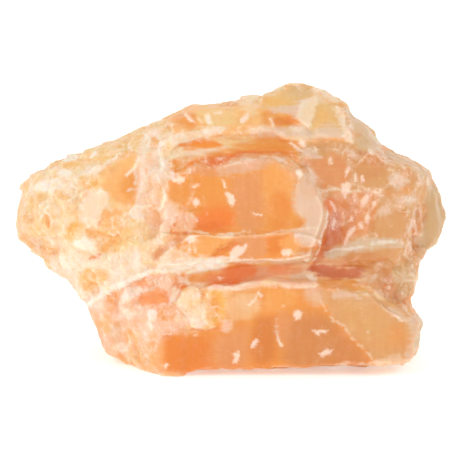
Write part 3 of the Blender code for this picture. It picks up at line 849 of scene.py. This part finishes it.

# The red strip at the seam's left end, under the foot's upper bed, is painted shade.
LEFT_FOOT = drawn("""
cream 0.9 6: 44,262 60,252 100,256 150,246 154,270 112,286 84,306 58,280;
ivory 0.5 6: 56,256 76,252 84,262 78,272 60,268;
gold 0.75 4: 78,271 92,266 106,271 112,276 102,285 90,293 80,288;
blush 0.9 4: 86,305 112,292 150,276 188,284 190,325 162,350 166,378 120,376 100,352 92,322;
coral 0.75 3: 106,294 122,284 140,279 152,273 166,274 160,284 140,288 124,293 118,300 108,303;
orange 0.7 2: 106,295 113,293 119,301 117,305 108,301;
peach 0.7 4: 136,290 146,300 146,312 136,306;
coral 1 2: 137,298 148,289 159,287 171,296 169,302 158,305 146,308 139,304;
orange 0.8 3: 158,306 172,303 176,318 166,323 158,318;
honey 0.7 4: 100,314 109,313 112,332 104,337 98,328;
tan 0.6 4: 112,322 122,322 121,344 111,344;
amber 0.5 5: 122,326 140,330 150,360 132,366 126,348;
shell 0.7 3: 94,300 106,302 104,316 95,318;
cream 0.7 3: 122,309 134,306 139,314 132,321 124,318;
cream 0.5 3: 106,348 126,344 130,350 118,353;
gold 0.35 5: 112,354 150,354 160,368 140,376 122,368;
orange 0.8 3: 170,276 182,272 194,276 196,284 186,290 172,288;
blush 0.8 3: 154,276 168,272 172,282 168,292 156,286;
ivory 0.75 2: 122,292 129,287 140,285 141,291 132,297 128,304 121,303;
shell 0.8 2: 130,288 142,286 142,293 132,300 127,305;
ivory 0.7 1.5: 147,316 152,308 157,311 159,320 151,323;
ivory 0.6 1.5: 145,324 150,322 155,326 150,331;
cream 0.7 1.5: 172,319 178,311 183,314 178,323;
cream 0.7 1.5: 183,318 186,313 189,318 184,325;
shell 0.8 1.5: 170,300 172,295 178,298 176,302;
ember 0.5 2: 172,276 190,276 192,286 174,290;
shell 0.8 1.2: 177,276 181,276 191,285 187,287 181,282;
shell 0.8 1.2: 188,273 191,275 184,282 182,280;
gold 0.5 3: 128,330 140,334 138,342 128,340;
shell 0.6 2: 142,330 150,334 148,348 140,346;
honey 0.35 6: 108,350 150,352 160,366 138,374 118,364""")

WHITE_BEDS = drawn("""
ivory 0.9 3: 82,306 92,296 104,288 118,282 132,277 146,271 154,267 153,274 140,280 126,286 112,292 100,299
  90,308;
cream 0.95 3: 150,268 160,263 184,259 205,257 228,256 240,258 232,262 226,268 222,270 205,273 185,273
  165,272 152,272;
ivory 0.7 2: 152,269 160,267 180,264 200,262 222,260 226,264 205,270 180,272 160,272;
frost 0.75 3: 226,258 250,259 300,257 314,252 311,262 300,265 270,264 245,265 228,264;
mist 0.85 4: 322,252 332,246 350,241 372,238 404,239 404,246 380,248 362,250 348,252 343,258 330,260
  322,258;
frost 0.2 5: 396,239 424,236 424,246 400,248""")

STAINS_AND_SHADES = LEFT_WING + LEFT_FOOT + FIBROUS_STRIP + UPPER_SHELF + RIGHT_FACE + CAP + FRONT_BLOCK + LOWER_SLAB
STAINS_AND_SHADES += WHITE_BEDS + CLEFT_AND_SEAM

# Thin lines where a flake ends or a crack comes to the surface, and painted ones: the deep, orange and
# red lines along the gaps and under the lump are painted shade, and the pale lines along the top of the
# small ledge on the block are a painted highlight. Each: colour, strength, width in pixels, path
THREADS_AND_PAINTED_LIGHT = drawn("""
ivory 0.9 1.3: 90,156 96,151;
ivory 0.9 1.2: 108,161 114,158 120,153 124,151;
cream 0.8 1.6: 79,176 88,169 94,168 99,172;
cream 0.8 1.6: 98,168 102,167 108,162;
ivory 0.8 1.4: 68,190 72,184 76,188;
cream 0.7 1.2: 46,212 50,215 54,225;
cream 0.6 1.2: 110,208 112,218 113,230;
cream 0.8 1.5: 126,175 130,171 136,163 139,158;
shell 0.8 1.3: 133,168 136,178 134,184 129,190;
cream 0.8 1.6: 125,214 131,209 140,207 152,206;
cream 0.8 1.4: 126,219 134,215 142,213;
ivory 0.8 1.6: 160,140 160,150 162,165 164,172;
ivory 0.7 1.2: 158,176 163,190 164,200 160,211;
shell 0.7 1.2: 150,192 155,203 159,211;
ivory 0.8 1.4: 144,134 149,138 149,146;
cream 0.7 1.4: 128,149 132,146 135,143;
deep 0.9 1.2: 88,258 97,256 105,252;
orange 0.7 1.1: 103,211 102,218 99,226;
ember 0.7 0.9: 171,231 180,232 190,232;
orange 0.6 1.6: 45,214 49,222 49,228;
orange 0.6 1.4: 144,168 145,173;
cream 0.6 1.0: 318,190 331,191 345,190 360,191 376,193;
ember 0.8 1.2: 178,217 175,226;
ember 0.8 1.2: 184,214 186,223;
shell 0.8 1.2: 182,212 186,218 184,228;
shell 0.8 1.2: 190,212 194,218 199,222;
cream 0.6 1.0: 186,233 192,231 203,233 214,236 231,234;
cream 0.45 0.9: 232,234 244,232 252,234 262,233 270,233 279,230 290,231 299,228 318,227;
ivory 0.7 1.0: 328,213 326,225 322,233 320,240 320,247;
cream 0.7 1.2: 320,247 316,256 309,264;
cream 0.7 1.4: 228,262 246,262 262,261 285,259 306,258;
ivory 0.5 1.8: 326,252 338,249 356,248 378,243 402,242;
shell 0.7 1.2: 206,286 222,285 240,287 256,284;
cream 0.5 1.6: 416,208 412,220 409,235 405,254;
frost 0.7 1.0: 378,197 390,195 404,197 416,200;
frost 0.6 1.0: 370,210 370,224;
cream 0.4 1.0: 321,300 330,317 345,326 353,340 362,348 372,358;
ivory 0.6 1.2: 120,352 127,348 130,341 128,336;
ember 0.5 1.0: 190,329 206,332 218,328;
cream 0.8 1.6: 338,106 343,114 348,132 352,144;
tan 0.6 1.4: 341,104 347,118 352,136 356,150;
cream 0.5 1.2: 330,366 360,362 392,363;
cream 0.7 1.2: 196,287 199,298 200,311;
peach 0.6 1.2: 173,302 180,309 188,314;
frost 0.6 1.2: 277,320 277,334 281,345""")

# Beds of cream and orange run through the whole stone, rising a little to the right: colour, height
# in millimetres and strength
BEDS = [("butter", 5, 0.4), ("deep", 11, 0.35), ("straw", 18, 0.4), ("cream", 26, 0.6), ("amber", 34, 0.5),
        ("burnt", 39, 0.35), ("frost", 44, 0.45), ("orange", 52, 0.5), ("cream", 60, 0.5), ("honey", 70, 0.6)]
BED_RISE = 0.16
BED_HALF_WIDTH = 1.7
BED_SWAY = 3.5
# Paler and deeper stone change places slowly, over so many millimetres, and warm patches faster
MOOD_SIZE = 16.0
SWAY_SIZE = 22.0
WARM_SIZE = 9.0
# On the clean faces streaks stand and layers lie, with these sizes in millimetres. They and the
# crumbs fray the edges of the stains, by so many pixels.
STREAK_SIZE = (1.0, 1.0, 9.0)
LAYER_SIZE = (6.0, 6.0, 0.7)
CRUMB_SIZE = 0.9
STREAK_FRAY = 1.5
LAYER_FRAY = 4.0
CRUMB_FRAY = 1.1
# A loose chip takes its colour partly from where its middle is
CHIP_COLOUR = 0.3
# The stains and painted shades show where the skin faces the camera at least a little, and the warm
# patches where it slants. Each is a little softer than it is drawn, and the edges of a thread fray less.
FULL_VIEW = (-0.2, 0.0)
SLANT = 0.4
STAIN_SPREAD = 1.3
LEAST_SOFT = 0.6
THREAD_FRAY = 0.6
# How much of its red, green and blue the stone loses in a deep chip, a crease and a hollow, and how
# much they change along a streak. The loss in a crease and a hollow is painted shade, a deeper orange.
CHIP_LOSS = (0.02, 0.1, 0.2)
CREASE_SHADE = (0.01, 0.14, 0.26)
HOLLOW_SHADE = (0.0, 0.08, 0.18)
STREAK_CHANGE = (0.01, 0.05, 0.08)
# The gloss and the light make the stone paler than its own colours by so much
GLOSS = 0.05
BRIGHTNESS = (1.11, 1.04, 1.09)


def linear(colour):
    """An sRGB hex colour as linear red, green and blue."""
    parts = np.array([int(colour[at:at + 2], 16) for at in (1, 3, 5)]) / 255
    return np.where(parts <= 0.04045, parts / 12.92, ((parts + 0.055) / 1.055) ** 2.4)


def stain_and_painted_light(tint, colour_name, share):
    """Mixes a named colour into the tint, by each point's share of it, for stains, painted shade and painted
    highlights alike.
    """
    return tint + (linear(NAMED_COLOURS[colour_name]) - tint) * np.reshape(share, (-1, 1))


def left_after(share, loss):
    """What is left of each colour where a point loses its share of this much."""
    return 1 - np.outer(share, loss)


kept = ("calm", "tone", "crest", "proud", "sunk")
calm, tone, crest, proud, sunk = [get_field(stone, name)[:, 0] for name in kept]
home = get_field(stone, "home", 3)

noise.seed_set(7)
streaks = waves(points / STREAK_SIZE, 1.0)
layers = waves(points / LAYER_SIZE, 1.0)
moved = CHIP_COLOUR * (1 - calm)[:, None]
places = seen(points * (1 - moved) + home * moved)
places += wander(points, (1.6, 5.0), (0.6, 1.8))
fray = CRUMB_FRAY * waves(points, CRUMB_SIZE) + tone
fray += calm * (STREAK_FRAY * streaks + LAYER_FRAY * layers)

mood = waves(points, MOOD_SIZE)
tint = np.tile(linear(NAMED_COLOURS["amber"]), (len(points), 1))
tint = stain_and_painted_light(tint, "butter", step(mood, -0.1, 0.35))
tint = stain_and_painted_light(tint, "deep", 0.8 * step(-mood, 0.05, 0.4))
level = points[:, 2] - BED_RISE * points[:, 0] + BED_SWAY * waves(points, SWAY_SIZE)
for colour_name, middle, strength in BEDS:
    tint = stain_and_painted_light(tint, colour_name, strength * np.exp(-((level - middle) / BED_HALF_WIDTH) ** 2))

in_view = step(normals @ -sight, *FULL_VIEW)
for colour_name, strength, soft, outline in STAINS_AND_SHADES:
    soft, outline = STAIN_SPREAD * soft + LEAST_SOFT, rounded(outline)
    near = nearby(places, outline, soft + 2 * EDGE_MARGIN)
    depth = depth_inside(places[near], outline) + fray[near] * min(1, soft / 4)
    tint[near] = stain_and_painted_light(tint[near], colour_name, strength * step(depth, -soft / 2, soft / 2) * in_view[near])

for colour_name, strength, width, path in THREADS_AND_PAINTED_LIGHT:
    near = nearby(places, path, width + EDGE_MARGIN)
    apart = distance_to_path(places[near], path) - THREAD_FRAY * fray[near]
    cover = 1 - step(apart, 0.2 * width, width + 0.4)
    tint[near] = stain_and_painted_light(tint[near], colour_name, strength * cover * in_view[near])

# Faces that turn away from the front show the stone's warmer colour in patches
aslant = step(SLANT - normals @ -sight, 0, SLANT)
tint = stain_and_painted_light(tint, "orange", 0.45 * aslant * step(waves(points, WARM_SIZE), -0.2, 0.3))

# Each chip is a little milkier or deeper than the next and crests are white; creases and hollows are
# painted shade, a deeper orange
tint = stain_and_painted_light(tint, "cream", 0.25 * np.clip(tone, 0, 1))
tint *= left_after(np.clip(-tone, 0, 1), CHIP_LOSS)
tint = stain_and_painted_light(tint, "ivory", 0.4 * crest)
tint = stain_and_painted_light(tint, "ivory", 0.35 * step(proud, 0.07, 0.3))
tint *= left_after(step(-proud, 0.05, 0.3), CREASE_SHADE)
tint *= left_after(step(sunk, 0.3, 1.6), HOLLOW_SHADE)
tint *= left_after(-calm * streaks, STREAK_CHANGE)
tint = np.clip((tint - GLOSS) / BRIGHTNESS, 0.005, 1)
set_field(stone, "tint", np.column_stack((tint, np.ones(len(points)))), "FLOAT_COLOR")


# The material is orange calcite, broken and not polished: glassy on clean cleavage, where light
# sinks in and comes back orange, and dull and white where the surface is bruised. The sizes of its
# patterns are in millimetres.
SPECK = 0.7
CLOUD = 3.4
BED = 1.2
FIBRE = 2.2
GRAIN = 0.6
FEATHER = 4.6
FEATHER_GROUP = 5.0
LIGHT_DEPTH = 1.9
MILK = "#fde9da"
BRUISE = "#f8e6d6"
# What the deeper stone lets through of red, green and blue
GLOW = (1.0, 0.8, 0.52, 1)


def set_inputs(node, inputs):
    """Gives each input its value, or links it to the output that feeds it."""
    for socket, value in inputs.items():
        if isinstance(value, bpy.types.NodeSocket):
            node.id_data.links.new(value, node.inputs[socket])
        else:
            node.inputs[socket].default_value = value


def add_node(tree, kind, inputs=(), output=0, **settings):
    """Adds a node with its settings and inputs, and gives back one of its outputs."""
    node = tree.nodes.new("ShaderNode" + kind)
    for name, value in settings.items():
        setattr(node, name, value)
    set_inputs(node, dict(inputs))
    return node.outputs[output]


def calcite_material():
    material = bpy.data.materials.new("broken_orange_calcite")
    material.use_nodes = True
    tree = material.node_tree
    place = add_node(tree, "TexCoord", output="Object")
    tint = add_node(tree, "Attribute", output="Color", attribute_name="tint")
    bruise = add_node(tree, "Attribute", output="Fac", attribute_name="bruise")
    faint = add_node(tree, "Attribute", output="Fac", attribute_name="faint")
    calm = add_node(tree, "Attribute", output="Fac", attribute_name="calm")

    # Crumbs of half a millimetre speckle the rubble, and hardly show on a clean face
    crumbs = add_node(tree, "TexNoise", {"Vector": place, "Scale": 1 / (SPECK * MM), "Detail": 3.0})
    spread = add_node(tree, "MapRange", {"Value": calm, "To Min": 0.34, "To Max": 0.08})
    centred = add_node(tree, "Math", {0: crumbs, 1: 0.5}, operation="SUBTRACT")
    speck = add_node(tree, "Math", {0: centred, 1: spread}, operation="MULTIPLY")
    gain = add_node(tree, "VectorMath", {0: (0.6, 1.2, 1.8), "Scale": speck}, operation="SCALE")
    lifted = add_node(tree, "VectorMath", {0: gain, 1: (1, 1, 1)}, operation="ADD")
    speckled = add_node(tree, "VectorMath", {0: tint, 1: lifted}, operation="MULTIPLY")

    # Milk lies in clouds with torn edges, and the stone between them glows deeper
    open_ground = add_node(tree, "MapRange", {"Value": calm, "From Min": 0.3, "From Max": 0.9, "To Min": 1.0,
                                              "To Max": 0.12})
    clouds = add_node(tree, "TexNoise", {"Vector": place, "Scale": 1 / (CLOUD * MM), "Detail": 5.0,
                                         "Roughness": 0.6, "Distortion": 0.15})
    milk = add_node(tree, "MapRange", {"Value": clouds, "From Min": 0.5, "From Max": 0.62, "To Max": 0.25})
    milky = add_node(tree, "Math", {0: milk, 1: open_ground}, operation="MULTIPLY")
    glow = add_node(tree, "MapRange", {"Value": clouds, "From Min": 0.48, "From Max": 0.36, "To Max": 0.6})
    glowing = add_node(tree, "Math", {0: glow, 1: open_ground}, operation="MULTIPLY")
    clouded = add_node(tree, "Mix", {0: milky, 6: speckled, 7: (*linear(MILK), 1)}, 2, data_type="RGBA")
    deeper = add_node(tree, "Mix", {0: glowing, 6: clouded, 7: GLOW}, 2, data_type="RGBA",
                      blend_type="MULTIPLY")

    # Fine beds and fibres cross on the clean faces, like a weave
    across = add_node(tree, "Mapping", {"Vector": place, "Scale": (0.12, 0.12, 1.0)})
    beds = add_node(tree, "TexNoise", {"Vector": across, "Scale": 1 / (BED * MM), "Detail": 2.0})
    along = add_node(tree, "Mapping", {"Vector": place, "Scale": (1.0, 1.0, 0.12)})
    fibres = add_node(tree, "TexNoise", {"Vector": along, "Scale": 1 / (FIBRE * MM), "Detail": 2.0})
    crossed = add_node(tree, "Math", {0: beds, 1: fibres}, operation="ADD")
    about_none = add_node(tree, "Math", {0: crossed, 1: 1.0}, operation="SUBTRACT")
    weave = add_node(tree, "VectorMath", {0: (0.03, 0.07, 0.12), "Scale": about_none}, operation="SCALE")
    woven = add_node(tree, "VectorMath", {0: weave, 1: (1, 1, 1)}, operation="ADD")
    clean = add_node(tree, "VectorMath", {0: deeper, 1: woven}, operation="MULTIPLY")

    # A bruise has a ragged edge and isn't the same white all over
    grain = add_node(tree, "TexNoise", {"Vector": place, "Scale": 1 / (GRAIN * MM), "Detail": 3.0})
    ragged = add_node(tree, "Math", {0: grain, 1: 5.0, 2: -2.6}, operation="MULTIPLY_ADD")
    edge = add_node(tree, "Math", {0: bruise, 1: ragged}, operation="ADD")
    torn = add_node(tree, "MapRange", {"Value": edge, "From Min": -0.8, "From Max": 2.8},
                    interpolation_type="SMOOTHSTEP")
    cover = add_node(tree, "MapRange", {"Value": faint, "To Min": 0.74, "To Max": 0.6})
    fleck = add_node(tree, "Math", {0: torn, 1: cover}, operation="MULTIPLY")

    # Thin white feathers run through the rubble, where small cracks reach the surface
    feathers = add_node(tree, "TexNoise", {"Vector": place, "Scale": 1 / (FEATHER * MM), "Detail": 1.5,
                                           "Distortion": 0.4})
    off_line = add_node(tree, "Math", {0: feathers, 1: 0.5}, operation="SUBTRACT")
    apart = add_node(tree, "Math", {0: off_line}, operation="ABSOLUTE")
    line = add_node(tree, "MapRange", {"Value": apart, "From Max": 0.02, "To Min": 0.5, "To Max": 0.0})
    groups = add_node(tree, "TexNoise", {"Vector": place, "Scale": 1 / (FEATHER_GROUP * MM), "Detail": 1.0})
    grouped = add_node(tree, "MapRange", {"Value": groups, "From Min": 0.5, "From Max": 0.62})
    there = add_node(tree, "Math", {0: grouped, 1: open_ground}, operation="MULTIPLY")
    feather = add_node(tree, "Math", {0: line, 1: there}, operation="MULTIPLY")
    whiter = add_node(tree, "Math", {0: fleck, 1: feather}, operation="MAXIMUM")

    # White crumbs lie in the rubble, in groups
    crumb = add_node(tree, "MapRange", {"Value": crumbs, "From Min": 0.56, "From Max": 0.64, "To Max": 0.7})
    strewn = add_node(tree, "Math", {0: crumb, 1: milky}, operation="MULTIPLY")
    powdered = add_node(tree, "Math", {0: strewn, 1: 3.0}, operation="MULTIPLY")
    whitest = add_node(tree, "Math", {0: whiter, 1: powdered}, operation="MAXIMUM")
    flecked = add_node(tree, "Mix", {0: whitest, 6: clean, 7: (*linear(BRUISE), 1)}, 2, data_type="RGBA")

    # A clean face is glossier than the rubble, and a bruise is dull
    dull = add_node(tree, "MapRange", {"Value": calm, "To Min": 0.52, "To Max": 0.34})
    rough = add_node(tree, "Math", {0: fleck, 1: 0.25, 2: dull}, operation="MULTIPLY_ADD")
    bump = add_node(tree, "Bump", {"Height": crumbs, "Strength": 0.35, "Distance": 0.25 * MM})
    set_inputs(tree.nodes["Principled BSDF"], {
        "Base Color": flecked, "Roughness": rough, "Normal": bump, "IOR": 1.6, "Subsurface Weight": 0.85,
        "Subsurface Radius": (1.0, 0.45, 0.22), "Subsurface Scale": LIGHT_DEPTH * MM,
    })
    return material


stone.data.materials.clear()
stone.data.materials.append(calcite_material())
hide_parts("orange_calcite")
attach(stone, "root")


# The floor is a sheet of matt white acrylic, lit a little from below, so that the stone's shadow on
# it stays pale. It lies in a white room, with one large soft lamp at the front left.
FLOOR_HALF_WIDTH = 4.0
LAMP_WIDTH = 0.6
LAMP_WATTS = 1.6
LAMP_PLACE = (-0.7, -0.7, 0.7)

floor_data = bpy.data.meshes.new("floor")
bm = bmesh.new()
bmesh.ops.create_grid(bm, x_segments=1, y_segments=1, size=FLOOR_HALF_WIDTH)
bm.to_mesh(floor_data)
bm.free()
floor = bpy.data.objects.new("floor", floor_data)
bpy.context.scene.collection.objects.link(floor)
acrylic = bpy.data.materials.new("lit_white_acrylic")
acrylic.use_nodes = True
set_inputs(acrylic.node_tree.nodes["Principled BSDF"], {
    "Base Color": (0.9, 0.9, 0.9, 1), "Roughness": 0.9,
    "Emission Color": (1, 1, 1, 1), "Emission Strength": 0.35,
})
floor_data.materials.append(acrylic)

world = bpy.data.worlds.new("studio")
world.use_nodes = True
set_inputs(world.node_tree.nodes["Background"], {"Color": (1, 1, 1, 1), "Strength": 1.0})
bpy.context.scene.world = world
bpy.context.scene.view_settings.view_transform = "Standard"

key = bpy.data.lights.new("key", "AREA")
key.size = LAMP_WIDTH
key.energy = LAMP_WATTS
lamp = bpy.data.objects.new("key", key)
lamp.location = LAMP_PLACE
lamp.rotation_euler = (Vector(TARGET) - lamp.location).to_track_quat("-Z", "Y").to_euler()
bpy.context.scene.collection.objects.link(lamp)
